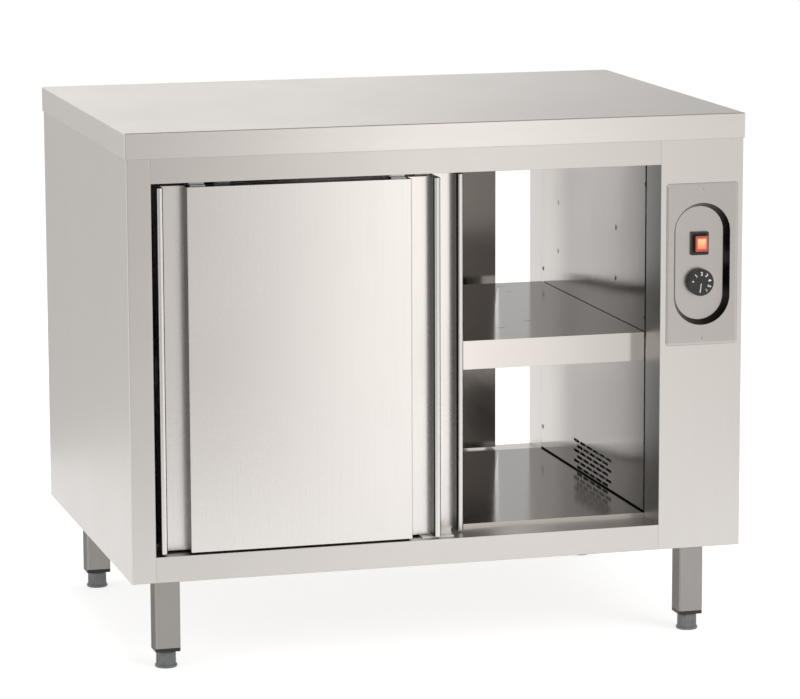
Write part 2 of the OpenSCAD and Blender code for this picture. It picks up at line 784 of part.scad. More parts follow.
// Scroll of the cross-flow fan, open to the grille
module fan_housing() {
    t = 1;
    r = fan_r + 5;
    mouth = 19;
    color(zinc) difference() {
        union() {
            along_y(grille_y - fan_len / 2 - 5, grille_y + fan_len / 2 + 5) difference() {
                union() {
                    translate([fan_x, fan_z]) circle(r);
                    translate([ox1 + wall_flange / 2, fan_z - r]) square([fan_x - ox1 - wall_flange / 2, r + mouth]);
                }
                translate([fan_x, fan_z]) circle(r - t);
                translate([ox1, fan_z - r + t]) square([fan_x - ox1, r + mouth - 2 * t]);
            }
            for (y = [grille_y - fan_len / 2 - 5, grille_y + fan_len / 2 + 4]) along_y(y, y + t)
                translate([fan_x, fan_z]) circle(r);
        }
        bar_y(fan_x, fan_z, fan_shaft + run, grille_y - fan_len, grille_y + fan_len);
    }
}

// Cross-flow wheel: end discs, a ring of blades and the shaft
module fan_wheel() {
    blades = 22;
    disc_t = 1.5;
    y0 = grille_y - fan_len / 2;
    color(steel_dark) {
        for (y = [y0, y0 + fan_len - disc_t]) bar_y(fan_x, fan_z, fan_r, y, y + disc_t);
        bar_y(fan_x, fan_z, fan_shaft, y0 - 8, y0 + fan_len + 12);
        for (k = [0 : blades - 1]) translate([fan_x, y0 + disc_t - eps, fan_z]) rotate([0, k * 360 / blades, 0])
            translate([fan_r - 7, 0, 0]) rotate([0, 28, 0]) cube([6.5, fan_len - 2 * disc_t + 2 * eps, 0.6]);
    }
}

// Motor on the end of the scroll, on a bracket that stands on the pan
module fan_motor() {
    y0 = grille_y + fan_len / 2 + 5 + gap;
    core = 44;
    color(zinc) difference() {
        union() {
            block(fan_x - core / 2, y0 + 14, fan_z - core / 2, fan_x + core / 2, y0 + 34, fan_z + core / 2);
            bar_y(fan_x, fan_z, 13, y0, y0 + 46);
            block(fan_x - 14, y0 + 18, oz0, fan_x + 14, y0 + 30, fan_z);
            block(fan_x - 24, y0 + 12, oz0, fan_x + 24, y0 + 36, oz0 + 1.5);
        }
        bar_y(fan_x, fan_z, fan_shaft + run, y0 - 1, y0 + 20);
    }
}

// Sheathed heating rod bent to a long U in front of the scroll
module heater_element() {
    r = 3.25;
    bend = 12;
    x = ox1 + wall_flange + 2;
    z = fan_z + 32;
    y0 = grille_y - heater_front;
    y1 = grille_y + heater_back;
    color("dimgray") {
        for (s = [0, 1]) bar_y(x, z + s * 2 * bend, r, y0, y1);
        translate([x, y0, z + bend]) rotate([0, 90, 0]) rotate([0, 0, 180]) rotate_extrude(angle = 180) translate([bend, 0]) circle(r);
        for (s = [0, 1]) bar_y(x, z + s * 2 * bend, r + 1.5, y1 - eps, y1 + 14);
        block(ox1 + sheet, y1 + 2, z - 9, x + 9, y1 + 4, z + 2 * bend + 9);
    }
}

// Terminal block for the mains wires, on the pan inside the column
module terminal_block() {
    x0 = column_x + 6;
    ways = 5;
    way_w = 11;
    y0 = gland_y - gland_flange - 1 - ways * way_w;
    color("whitesmoke") difference() {
        block(x0, y0, oz0, x0 + 24, y0 + ways * way_w, oz0 + 20);
        for (k = [0 : ways - 1]) {
            translate([x0 + 12, y0 + (k + 0.5) * way_w, oz0 + 8]) cylinder(h = 13, r = 2.5);
            bar_x(y0 + (k + 0.5) * way_w, oz0 + 7, 2, x0 - 1, x0 + 25);
        }
    }
}

// Gland for the mains lead, under the column
module cable_gland() {
    color(black) translate([column_x, gland_y, oz0]) difference() {
        union() {
            translate([0, 0, -sheet - 5]) cylinder(h = 5, r = gland_flange);
            translate([0, 0, -sheet - 17]) cylinder(h = 13, r1 = gland_r, r2 = gland_r + 3);
            translate([0, 0, -sheet - 1]) cylinder(h = sheet + 2, r = gland_r);
            cylinder(h = 5, r = gland_r + 4);
        }
        translate([0, 0, -30]) cylinder(h = 40, r = gland_bore);
    }
}

// Domed screws of the control plate and of both chamber walls
module panel_screws() {
    head_h = overhang - plate_proud;
    wall_head_h = 0.8;
    shank = 8;
    color(zinc) {
        for (y = [-plate_screw, plate_screw]) on_column(plate_z + y) {
            translate([0, 0, plate_proud]) cylinder(h = head_h, r = screw_head_r);
            translate([0, 0, -shank]) cylinder(h = shank + plate_proud + eps, r = screw_r);
        }
        wall_screw_spots() {
            bar_x(0, 0, screw_head_r, ox0, ox0 + wall_head_h);
            bar_x(0, 0, screw_r, ox0 - shank, ox0 + eps);
            bar_x(0, 0, screw_head_r, ox1 - wall_head_h, ox1);
            bar_x(0, 0, screw_r, ox1 - eps, ox1 + shank);
        }
    }
}

worktop();
worktop_core();
left_side_panel();
right_side_panel();
left_liner();
side_insulation();
chamber_wall();
front_top_rail();
back_top_rail();
front_tracks();
back_tracks();
door_stops();
ceiling_liner();
base_pan();
floor_liner();
leg(0);  // leg_front_left
leg(1);  // leg_front_right
leg(2);  // leg_back_left
leg(3);  // leg_back_right
leg_caps();
foot(0);  // foot_front_left
foot(1);  // foot_front_right
foot(2);  // foot_back_left
foot(3);  // foot_back_right
shelf();
shelf_pegs();
door_skin(0);  // front_outer_skin
door_skin(1);  // front_inner_skin
door_skin(2);  // back_outer_skin
door_skin(3);  // back_inner_skin
door_liner(0);  // front_outer_liner
door_liner(1);  // front_inner_liner
door_liner(2);  // back_outer_liner
door_liner(3);  // back_inner_liner
hangers(0);  // front_outer_hangers
hangers(1);  // front_inner_hangers
hangers(2);  // back_outer_hangers
hangers(3);  // back_inner_hangers
roller(0, 0);  // front_outer_roller_a
roller(0, 1);  // front_outer_roller_b
roller(1, 0);  // front_inner_roller_a
roller(1, 1);  // front_inner_roller_b
roller(2, 0);  // back_outer_roller_a
roller(2, 1);  // back_outer_roller_b
roller(3, 0);  // back_inner_roller_a
roller(3, 1);  // back_inner_roller_b
bottom_guides();
control_plate();
switch_housing();
switch_rocker();
thermostat_knob();
thermostat();
fan_housing();
fan_wheel();
fan_motor();
heater_element();
terminal_block();
cable_gland();
panel_screws();
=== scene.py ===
import math

import bmesh
import bpy
from mathutils import Matrix, Vector


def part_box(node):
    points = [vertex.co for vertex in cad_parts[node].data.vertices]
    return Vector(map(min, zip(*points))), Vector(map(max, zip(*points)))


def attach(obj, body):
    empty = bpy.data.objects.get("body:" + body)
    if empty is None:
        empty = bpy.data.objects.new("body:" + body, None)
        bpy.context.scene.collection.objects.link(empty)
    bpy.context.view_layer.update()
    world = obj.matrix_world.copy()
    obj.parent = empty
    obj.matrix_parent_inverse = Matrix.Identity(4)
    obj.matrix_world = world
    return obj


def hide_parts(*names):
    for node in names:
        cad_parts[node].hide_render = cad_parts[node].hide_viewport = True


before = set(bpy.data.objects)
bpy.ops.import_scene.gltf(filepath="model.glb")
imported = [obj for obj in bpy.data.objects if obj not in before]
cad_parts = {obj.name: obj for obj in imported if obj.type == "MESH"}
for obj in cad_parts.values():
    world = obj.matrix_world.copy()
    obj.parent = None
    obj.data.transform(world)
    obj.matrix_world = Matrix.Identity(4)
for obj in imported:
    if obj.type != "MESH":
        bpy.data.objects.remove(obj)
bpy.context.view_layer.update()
print("frame loaded,", len(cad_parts), "nodes")

scene = bpy.context.scene
scene.view_settings.view_transform = "Standard"
mm = 0.001

# Camera, at the place the photograph was taken from

cameraSet = {
    "place": (-1.643654, -6.082328, 1.541298),
    "turn": 16.56,
    "down": 9.96,
    "lens": 174.33,
    "sensor": 36,
    "reach": 200,
    "shiftX": -0.1,
}


def makeCamera():
    data = bpy.data.cameras.new("camera")
    data.lens = cameraSet["lens"]
    data.sensor_width = cameraSet["sensor"]
    data.shift_x = cameraSet["shiftX"]
    data.clip_end = cameraSet["reach"]
    camera = bpy.data.objects.new("camera", data)
    camera.location = cameraSet["place"]
    camera.rotation_euler = (math.radians(90 - cameraSet["down"]), 0, -math.radians(cameraSet["turn"]))
    scene.collection.objects.link(camera)
    scene.camera = camera


makeCamera()

# Light

studio = {
    "key": {"place": (3.4, -4.6, 3.6), "size": 3.2, "watts": 150, "aim": (0.1, 0, 0.5)},
    "fill": {"place": (-4.6, -2.6, 2.6), "size": 3.0, "watts": 55, "aim": (-0.2, 0, 0.4)},
    "top": {"place": (0.2, 0.9, 5.0), "size": 3.6, "watts": 110, "aim": (0, 0, 0.6)},
    "upperLamp": {"place": (0.2555, 0.204, 0.634), "size": 0.21, "tall": 0.268, "watts": 0.13,
                  "aim": (1.2045, -0.111, 0.634), "mirrored": True},
    "lowerLamp": {"place": (0.2555, 0.204, 0.322), "size": 0.21, "tall": 0.244, "watts": 0.105,
                  "aim": (1.2045, -0.111, 0.322), "mirrored": True},
    "skyPlain": 0.62,
    "skyTint": (1, 0.985, 0.965, 1),
    "cardTint": (1, 0.975, 0.955, 1),
}

# Cards seen only as mirrored: a corner, two sides, and the level of their glow along X
cards = {
    "frontCard": {"corner": (-2.6, -1.6, 0), "across": (5.8, 0, 0), "up": (0, 0, 2.0),
                  "levels": ((-0.9, 0.6), (-0.25, 0.7), (-0.05, 0.78), (0.15, 1.25), (0.35, 1.62),
                             (0.55, 1.35), (0.8, 0.95), (1.1, 0.92), (1.6, 1.05))},
    "leftCard": {"corner": (-2.6, 1.4, 0), "across": (2.04, 0, 0), "up": (0, 0, 1.0),
                 "levels": ((-1.4, 0.8), (-0.6, 0.7))},
    "rearCard": {"corner": (-2.6, 2.2, 1.06), "across": (5.6, 0, 0), "up": (0, 0, 1.54),
                 "levels": ((-0.4, 1.12), (0.3, 1.05), (1.5, 0.6))},
    "overCard": {"corner": (-3.0, -1.6, 2.6), "across": (6.4, 0, 0), "up": (0, 3.2, 0),
                 "levels": ((-3.0, 0.32), (3.4, 0.38))},
}


# The two small lamps stand in the chamber and light its right wall, and they alone are mirrored
def makeLamp(name, look):
    data = bpy.data.lights.new(name, "AREA")
    data.shape = "RECTANGLE"
    data.size = look["size"]
    data.size_y = look.get("tall", look["size"])
    data.energy = look["watts"]
    lamp = bpy.data.objects.new(name, data)
    lamp.location = look["place"]
    backward = Vector(look["place"]) - Vector(look["aim"])
    lamp.rotation_euler = backward.to_track_quat("Z", "Y").to_euler()
    lamp.visible_glossy = look.get("mirrored", False)
    lamp.visible_camera = False
    scene.collection.objects.link(lamp)


def addNode(tree, kind, **settings):
    node = tree.nodes.new("ShaderNode" + kind)
    for key, value in settings.items():
        setattr(node, key, value)
    return node


def mathNode(tree, operation, first, second, clamp=False):
    node = addNode(tree, "Math", operation=operation, use_clamp=clamp)
    for socket, value in zip(node.inputs, (first, second)):
        if hasattr(value, "is_linked"):
            tree.links.new(value, socket)
        else:
            socket.default_value = value
    return node.outputs[0]


def mapRange(tree, value, low, high, toLow, toHigh):
    node = addNode(tree, "MapRange")
    tree.links.new(value, node.inputs["Value"])
    for name, number in (("From Min", low), ("From Max", high), ("To Min", toLow), ("To Max", toHigh)):
        node.inputs[name].default_value = number
    return node.outputs["Result"]


def mixColour(tree, factor, first, second):
    node = addNode(tree, "Mix", data_type="RGBA")
    for socket, value in ((node.inputs[0], factor), (node.inputs[6], first), (node.inputs[7], second)):
        if hasattr(value, "is_linked"):
            tree.links.new(value, socket)
        elif isinstance(value, tuple):
            socket.default_value = (*value, 1)
        else:
            socket.default_value = value
    return node.outputs[2]


def seenOrMirrored(tree):
    path = addNode(tree, "LightPath")
    seen = mathNode(tree, "MAXIMUM", path.outputs["Is Camera Ray"], path.outputs["Is Transmission Ray"])
    return mathNode(tree, "MAXIMUM", seen, path.outputs["Is Glossy Ray"])


def rampOf(tree, value, stops):
    top = max(level for place, level in stops)
    ramp = addNode(tree, "ValToRGB")
    ramp.color_ramp.interpolation = "EASE"
    while len(ramp.color_ramp.elements) < len(stops):
        ramp.color_ramp.elements.new(0.5)
    low, high = stops[0][0], stops[-1][0]
    for element, (place, level) in zip(ramp.color_ramp.elements, stops):
        element.position = (place - low) / (high - low)
        element.color = (level / top, level / top, level / top, 1)
    tree.links.new(mapRange(tree, value, low, high, 0, 1), ramp.inputs["Fac"])
    return mathNode(tree, "MULTIPLY", ramp.outputs["Color"], top)


# The sky is white to the eye and in the steel, and lights the object at a plain level
def makeSky():
    world = bpy.data.worlds.new("studio")
    scene.world = world
    world.use_nodes = True
    tree = world.node_tree
    tree.nodes.clear()
    plain = addNode(tree, "Background")
    plain.inputs["Color"].default_value = studio["skyTint"]
    plain.inputs["Strength"].default_value = studio["skyPlain"]
    white = addNode(tree, "Background")
    white.inputs["Color"].default_value = (1, 1, 1, 1)
    pick = addNode(tree, "MixShader")
    out = addNode(tree, "OutputWorld")
    tree.links.new(seenOrMirrored(tree), pick.inputs[0])
    tree.links.new(plain.outputs[0], pick.inputs[1])
    tree.links.new(white.outputs[0], pick.inputs[2])
    tree.links.new(pick.outputs[0], out.inputs["Surface"])


# A studio card outside the object, which glossy rays see and no other ray does
def makeCard(name, look):
    corner, across, up = (Vector(look[key]) for key in ("corner", "across", "up"))
    middle = corner + (across + up) / 2
    facing = across.cross(up).normalized()
    place = Matrix((across, up, facing)).transposed().to_4x4()
    place.translation = middle
    shape = bmesh.new()
    bmesh.ops.create_grid(shape, x_segments=1, y_segments=1, size=0.5, matrix=place)
    mesh = bpy.data.meshes.new(name)
    shape.to_mesh(mesh)
    shape.free()
    material = bpy.data.materials.new(name)
    material.use_nodes = True
    tree = material.node_tree
    tree.nodes.clear()
    split = addNode(tree, "SeparateXYZ")
    tree.links.new(addNode(tree, "TexCoord").outputs["Object"], split.inputs[0])
    glow = addNode(tree, "Emission")
    glow.inputs["Color"].default_value = studio["cardTint"]
    out = addNode(tree, "OutputMaterial")
    tree.links.new(rampOf(tree, split.outputs["X"], look["levels"]), glow.inputs["Strength"])
    tree.links.new(glow.outputs[0], out.inputs["Surface"])
    mesh.materials.append(material)
    card = bpy.data.objects.new(name, mesh)
    card.visible_camera = False
    card.visible_diffuse = False
    card.visible_transmission = False
    card.visible_shadow = False
    scene.collection.objects.link(card)


floorSet = {
    "half": 16,
    "paint": (0.8, 0.79, 0.78, 1),
    "shade": (0.42, 0.42, 0.42, 1),
    "glow": 0.74,
}


# Pale floor: seen or mirrored it is nearly white and keeps the shadow, otherwise it is a pale paint
def makeFloor():
    mesh = bpy.data.meshes.new("floor")
    shape = bmesh.new()
    bmesh.ops.create_grid(shape, x_segments=1, y_segments=1, size=floorSet["half"])
    shape.to_mesh(mesh)
    shape.free()
    floor = bpy.data.objects.new("floor", mesh)
    scene.collection.objects.link(floor)
    material = bpy.data.materials.new("floor_paint")
    material.use_nodes = True
    tree = material.node_tree
    tree.nodes.clear()
    plain = addNode(tree, "BsdfDiffuse")
    plain.inputs["Color"].default_value = floorSet["paint"]
    shade = addNode(tree, "BsdfDiffuse")
    shade.inputs["Color"].default_value = floorSet["shade"]
    glow = addNode(tree, "Emission")
    glow.inputs["Strength"].default_value = floorSet["glow"]
    both = addNode(tree, "AddShader")
    pick = addNode(tree, "MixShader")
    out = addNode(tree, "OutputMaterial")
    tree.links.new(shade.outputs[0], both.inputs[0])
    tree.links.new(glow.outputs[0], both.inputs[1])
    tree.links.new(seenOrMirrored(tree), pick.inputs[0])
    tree.links.new(plain.outputs[0], pick.inputs[1])
    tree.links.new(both.outputs[0], pick.inputs[2])
    tree.links.new(pick.outputs[0], out.inputs["Surface"])
    mesh.materials.append(material)


for lampName in ("key", "fill", "top", "upperLamp", "lowerLamp"):
    makeLamp(lampName, studio[lampName])
makeSky()
makeFloor()
for cardName, cardLook in cards.items():
    makeCard(cardName, cardLook)
print("studio ready")

# Shared effects


def newGroup(name, inputs, outputs):
    group = bpy.data.node_groups.new(name, "ShaderNodeTree")
    for label, kind, value in inputs:
        socket = group.interface.new_socket(label, in_out="INPUT", socket_type="NodeSocket" + kind)
        if value is not None:
            socket.default_value = value
    for label, kind in outputs:
        group.interface.new_socket(label, in_out="OUTPUT", socket_type="NodeSocket" + kind)
    return group, group.nodes.new("NodeGroupInput"), group.nodes.new("NodeGroupOutput")


grainSet = {"share": 0.35, "detail": 3.0, "bandScale": 0.07, "bandDetail": 2.0, "low": 0.36, "high": 0.64}


# Satin lines left by the abrasive belt: fine scratches, with broader bands of pressure over them
def makeBrushedGrain():
    group, given, result = newGroup("brushedGrain",
                                    [("Vector", "Vector", None), ("Bands", "Float", grainSet["share"])],
                                    [("Tone", "Float"), ("Height", "Float")])
    fine = addNode(group, "TexNoise")
    fine.inputs["Scale"].default_value = 1.0
    fine.inputs["Detail"].default_value = grainSet["detail"]
    group.links.new(given.outputs["Vector"], fine.inputs["Vector"])
    wide = addNode(group, "VectorMath", operation="SCALE")
    wide.inputs["Scale"].default_value = grainSet["bandScale"]
    group.links.new(given.outputs["Vector"], wide.inputs[0])
    bands = addNode(group, "TexNoise")
    bands.inputs["Scale"].default_value = 1.0
    bands.inputs["Detail"].default_value = grainSet["bandDetail"]
    group.links.new(wide.outputs[0], bands.inputs["Vector"])
    share = mathNode(group, "MULTIPLY", bands.outputs["Fac"], given.outputs["Bands"])
    left = mathNode(group, "SUBTRACT", 1.0, given.outputs["Bands"])
    rest = mathNode(group, "MULTIPLY", fine.outputs["Fac"], left)
    tone = mapRange(group, mathNode(group, "ADD", share, rest), grainSet["low"], grainSet["high"], 0, 1)
    group.links.new(tone, result.inputs["Tone"])
    group.links.new(fine.outputs["Fac"], result.inputs["Height"])
    return group


wipeSet = {"scale": 5.0, "detail": 5.0, "roughness": 0.62, "distortion": 0.6, "low": 0.42, "high": 0.68}


# Faint cloudy marks of handling and wiping
def makeWipeMarks():
    group, given, result = newGroup("wipeMarks",
                                    [("Vector", "Vector", None), ("Scale", "Float", wipeSet["scale"])],
                                    [("Mask", "Float")])
    cloud = addNode(group, "TexNoise")
    cloud.inputs["Detail"].default_value = wipeSet["detail"]
    cloud.inputs["Roughness"].default_value = wipeSet["roughness"]
    cloud.inputs["Distortion"].default_value = wipeSet["distortion"]
    group.links.new(given.outputs["Vector"], cloud.inputs["Vector"])
    group.links.new(given.outputs["Scale"], cloud.inputs["Scale"])
    mask = mapRange(group, cloud.outputs["Fac"], wipeSet["low"], wipeSet["high"], 0, 1)
    group.links.new(mask, result.inputs["Mask"])
    return group


edgeWearAndShadeSet = {"radius": 0.0006, "samples": 4, "flat": 0.995, "turned": 0.8}


# Softened edges: a rounded normal, and a mask of where the surface turns over a fold or cut edge; steel uses
# the mask for painted shade along its folds, moulded parts for paler wear
def makeEdgeWear():
    group, given, result = newGroup("edgeWearAndFoldShade", [("Radius", "Float", edgeWearAndShadeSet["radius"])],
                                    [("Mask", "Float"), ("Normal", "Vector")])
    soft = addNode(group, "Bevel", samples=edgeWearAndShadeSet["samples"])
    group.links.new(given.outputs["Radius"], soft.inputs["Radius"])
    surface = addNode(group, "NewGeometry")
    facing = addNode(group, "VectorMath", operation="DOT_PRODUCT")
    group.links.new(soft.outputs["Normal"], facing.inputs[0])
    group.links.new(surface.outputs["Normal"], facing.inputs[1])
    mask = mapRange(group, facing.outputs["Value"], edgeWearAndShadeSet["flat"], edgeWearAndShadeSet["turned"], 0, 1)
    group.links.new(mask, result.inputs["Mask"])
    group.links.new(soft.outputs["Normal"], result.inputs["Normal"])
    return group


# The part of a noise texture's range that its values mostly stay in
noiseSpan = (0.3, 0.7)

brushedGrain = makeBrushedGrain()
wipeMarks = makeWipeMarks()
edgeWearAndFoldShade = makeEdgeWear()


def useGroup(tree, group, **values):
    node = addNode(tree, "Group", node_tree=group)
    for name, value in values.items():
        if hasattr(value, "is_linked"):
            tree.links.new(value, node.inputs[name])
        else:
            node.inputs[name].default_value = value
    return node


def startMaterial(name, look):
    material = bpy.data.materials.new(name)
    material.use_nodes = True
    tree = material.node_tree
    shader = tree.nodes["Principled BSDF"]
    shader.inputs["Metallic"].default_value = look.get("metal", 0.0)
    spot = addNode(tree, "TexCoord").outputs["Object"]
    return material, tree, shader, spot


def addBump(tree, shader, height, depth, normal=None):
    bump = addNode(tree, "Bump")
    bump.inputs["Strength"].default_value = 1.0
    bump.inputs["Distance"].default_value = depth
    tree.links.new(height, bump.inputs["Height"])
    if normal is not None:
        tree.links.new(normal, bump.inputs["Normal"])
    tree.links.new(bump.outputs["Normal"], shader.inputs["Normal"])


steelSet = {
    "along": 7,
    "across": 1400,
    "bands": 0.2,
    "marks": 4.0,
    "edge": 0.0005,
    "fold": 0.86,
    "wiped": 0.04,
    "swing": 0.01,
    "depth": 0.0000005,
    "sideways": 0.5,
    "forward": 0.8,
    "seamShadeColour": (0.012, 0.011, 0.01),
    "seamRough": 0.9,
    "seamCore": 0.8,
}


# Stainless sheet: fine satin lines along one axis, faint wipe marks, and folds painted a shade darker as
# painted shade.
# The walls folded square to the front can be painted dark as painted shade. Seams are dark lines painted
# along a sheet's edge: painted shade of the gap between sheets.
def steelMaterial(name, look):
    material, tree, shader, spot = startMaterial(name, {"metal": 1.0})
    stretch = addNode(tree, "Mapping")
    stretch.inputs["Scale"].default_value = [steelSet["along" if axis == look["grain"] else "across"]
                                             for axis in "XYZ"]
    tree.links.new(spot, stretch.inputs["Vector"])
    grain = useGroup(tree, brushedGrain, Vector=stretch.outputs[0], Bands=steelSet["bands"])
    marks = useGroup(tree, wipeMarks, Vector=spot, Scale=steelSet["marks"])
    edges = useGroup(tree, edgeWearAndFoldShade, Radius=look.get("edge", steelSet["edge"]))
    dark = tuple(channel * (1 - look["contrast"]) for channel in look["colour"])
    light = tuple(min(1, channel * (1 + look["contrast"])) for channel in look["colour"])
    # Colour of folds and cut edges, darker by the fold factor: painted shade
    foldShadeColour = tuple(channel * look.get("fold", steelSet["fold"]) for channel in look["colour"])
    colour = mixColour(tree, grain.outputs["Tone"], dark, light)
    colour = mixColour(tree, edges.outputs["Mask"], colour, foldShadeColour)
    facing = addNode(tree, "SeparateXYZ")
    tree.links.new(addNode(tree, "NewGeometry").outputs["Normal"], facing.inputs[0])
    forward = mathNode(tree, "ABSOLUTE", facing.outputs["Y"], 0)
    # Faces turned sideways from the front take the given near-black colour: painted shade of the grips' and
    # the plate's side walls
    if "shadedWalls" in look:
        wall = mapRange(tree, forward, steelSet["forward"], steelSet["sideways"], 0, 1)
        colour = mixColour(tree, wall, colour, look["shadedWalls"])
    # Faces turned to the front take the lighter lip colour: painted light on the shelf's lips
    if "lips" in look:
        lip = mapRange(tree, forward, steelSet["sideways"], steelSet["forward"], 0, 1)
        colour = mixColour(tree, lip, colour, look["lips"])
    dull, bright = look["rough"] + steelSet["swing"], look["rough"] - steelSet["swing"]
    rough = mapRange(tree, grain.outputs["Tone"], 0, 1, dull, bright)
    split = addNode(tree, "SeparateXYZ")
    tree.links.new(spot, split.inputs[0])
    # Dark, dull lines along the given edges: painted shade of the gaps between sheets
    for axis, inner, outer in look.get("seams", ()):
        seamShade = mapRange(tree, split.outputs[axis], inner, outer, 0, 1)
        colour = mixColour(tree, seamShade, colour, steelSet["seamShadeColour"])
        rough = mathNode(tree, "MAXIMUM", rough, mathNode(tree, "MULTIPLY", seamShade, steelSet["seamRough"]))
    tree.links.new(colour, shader.inputs["Base Color"])
    # A grey grazing tint darkens faces seen edge-on: painted shade on the legs' sides and the shelf
    if "grazing" in look:
        shader.inputs["Specular Tint"].default_value = (*[look["grazing"]] * 3, 1)
    wiped = mathNode(tree, "MULTIPLY", marks.outputs["Mask"], look.get("wiped", steelSet["wiped"]))
    tree.links.new(mathNode(tree, "ADD", rough, wiped, clamp=True), shader.inputs["Roughness"])
    addBump(tree, shader, grain.outputs["Height"], steelSet["depth"], edges.outputs["Normal"])
    if "spread" in look:
        shader.inputs["Anisotropic"].default_value = look["spread"]
        tangent = addNode(tree, "Tangent", direction_type="RADIAL", axis=look["spreadAxis"])
        tree.links.new(tangent.outputs[0], shader.inputs["Tangent"])
    return material


mouldedSet = {"pebble": 1800, "detail": 3, "marks": 40.0, "edge": 0.0005, "worn": 0.12, "patch": 0.8,
              "brighter": 0.06, "duller": 0.08, "depth": 0.00003}


# Moulded plastic or rubber: fine pebbled skin, paler where it is rubbed
def mouldedMaterial(name, look):
    material, tree, shader, spot = startMaterial(name, look)
    skin = addNode(tree, "TexNoise")
    skin.inputs["Scale"].default_value = look.get("pebble", mouldedSet["pebble"])
    skin.inputs["Detail"].default_value = mouldedSet["detail"]
    tree.links.new(spot, skin.inputs["Vector"])
    marks = useGroup(tree, wipeMarks, Vector=spot, Scale=mouldedSet["marks"])
    edges = useGroup(tree, edgeWearAndFoldShade, Radius=mouldedSet["edge"])
    share = look.get("worn", mouldedSet["worn"])
    worn = tuple(channel + (1 - channel) * share for channel in look["colour"])
    patchy = tuple(channel * mouldedSet["patch"] for channel in look["colour"])
    colour = mixColour(tree, marks.outputs["Mask"], look["colour"], patchy)
    tree.links.new(mixColour(tree, edges.outputs["Mask"], colour, worn), shader.inputs["Base Color"])
    bright, dull = look["rough"] - mouldedSet["brighter"], look["rough"] + mouldedSet["duller"]
    tree.links.new(mapRange(tree, skin.outputs["Fac"], *noiseSpan, bright, dull), shader.inputs["Roughness"])
    addBump(tree, shader, skin.outputs["Fac"], mouldedSet["depth"], edges.outputs["Normal"])
    return material


platedSet = {"patch": 160, "marks": 30.0, "edge": 0.0005, "dark": 0.86, "dull": 0.78, "dullShare": 0.5,
             "duller": 0.08, "brighter": 0.05, "depth": 0.00004}


# Zinc plating: crystal patches that differ a little in tone and gloss
def platedMaterial(name, look):
    material, tree, shader, spot = startMaterial(name, {"metal": 1.0})
    patches = addNode(tree, "TexVoronoi")
    patches.inputs["Scale"].default_value = look.get("patch", platedSet["patch"])
    tree.links.new(spot, patches.inputs["Vector"])
    tone = addNode(tree, "SeparateXYZ")
    tree.links.new(patches.outputs["Color"], tone.inputs[0])
    marks = useGroup(tree, wipeMarks, Vector=spot, Scale=platedSet["marks"])
    edges = useGroup(tree, edgeWearAndFoldShade, Radius=platedSet["edge"])
    dark = tuple(channel * platedSet["dark"] for channel in look["colour"])
    dull = tuple(channel * platedSet["dull"] for channel in look["colour"])
    colour = mixColour(tree, tone.outputs["X"], dark, look["colour"])
    wiped = mathNode(tree, "MULTIPLY", marks.outputs["Mask"], platedSet["dullShare"])
    tree.links.new(mixColour(tree, wiped, colour, dull), shader.inputs["Base Color"])
    high, low = look["rough"] + platedSet["duller"], look["rough"] - platedSet["brighter"]
    tree.links.new(mapRange(tree, tone.outputs["X"], 0, 1, high, low), shader.inputs["Roughness"])
    addBump(tree, shader, marks.outputs["Mask"], platedSet["depth"], edges.outputs["Normal"])
    return material


boardSet = {"chips": 260, "rough": (0.7, 0.9), "depth": 0.0003}


# Particle board: chips of different browns
def boardMaterial(name, look):
    material, tree, shader, spot = startMaterial(name, look)
    chips = addNode(tree, "TexVoronoi")
    chips.inputs["Scale"].default_value = boardSet["chips"]
    tree.links.new(spot, chips.inputs["Vector"])
    tone = addNode(tree, "SeparateXYZ")
    tree.links.new(chips.outputs["Color"], tone.inputs[0])
    colour = mixColour(tree, tone.outputs["X"], look["colour"], look["chip"])
    tree.links.new(colour, shader.inputs["Base Color"])
    tree.links.new(mapRange(tree, tone.outputs["Y"], 0, 1, *boardSet["rough"]), shader.inputs["Roughness"])
    addBump(tree, shader, chips.outputs["Distance"], boardSet["depth"])
    return material


woolSet = {"stretch": (120, 300, 900), "detail": 6, "rough": (0.98, 0.85), "depth": 0.0012}


# Mineral wool: loose fibres, yellow with darker hollows
def woolMaterial(name, look):
    material, tree, shader, spot = startMaterial(name, look)
    stretch = addNode(tree, "Mapping")
    stretch.inputs["Scale"].default_value = woolSet["stretch"]
    tree.links.new(spot, stretch.inputs["Vector"])
    fibre = addNode(tree, "TexNoise")
    fibre.inputs["Scale"].default_value = 1
    fibre.inputs["Detail"].default_value = woolSet["detail"]
    tree.links.new(stretch.outputs[0], fibre.inputs["Vector"])
    strand = fibre.outputs["Fac"]
    tree.links.new(mixColour(tree, strand, look["hollow"], look["colour"]), shader.inputs["Base Color"])
    tree.links.new(mapRange(tree, strand, *noiseSpan, *woolSet["rough"]), shader.inputs["Roughness"])
    addBump(tree, shader, strand, woolSet["depth"])
    return material


litSet = {"soft": 0.12, "below": 0.7, "above": 0.8, "ripple": 420, "rippleShare": 0.35, "rough": (0.2, 0.32),
          "depth": 0.00005}


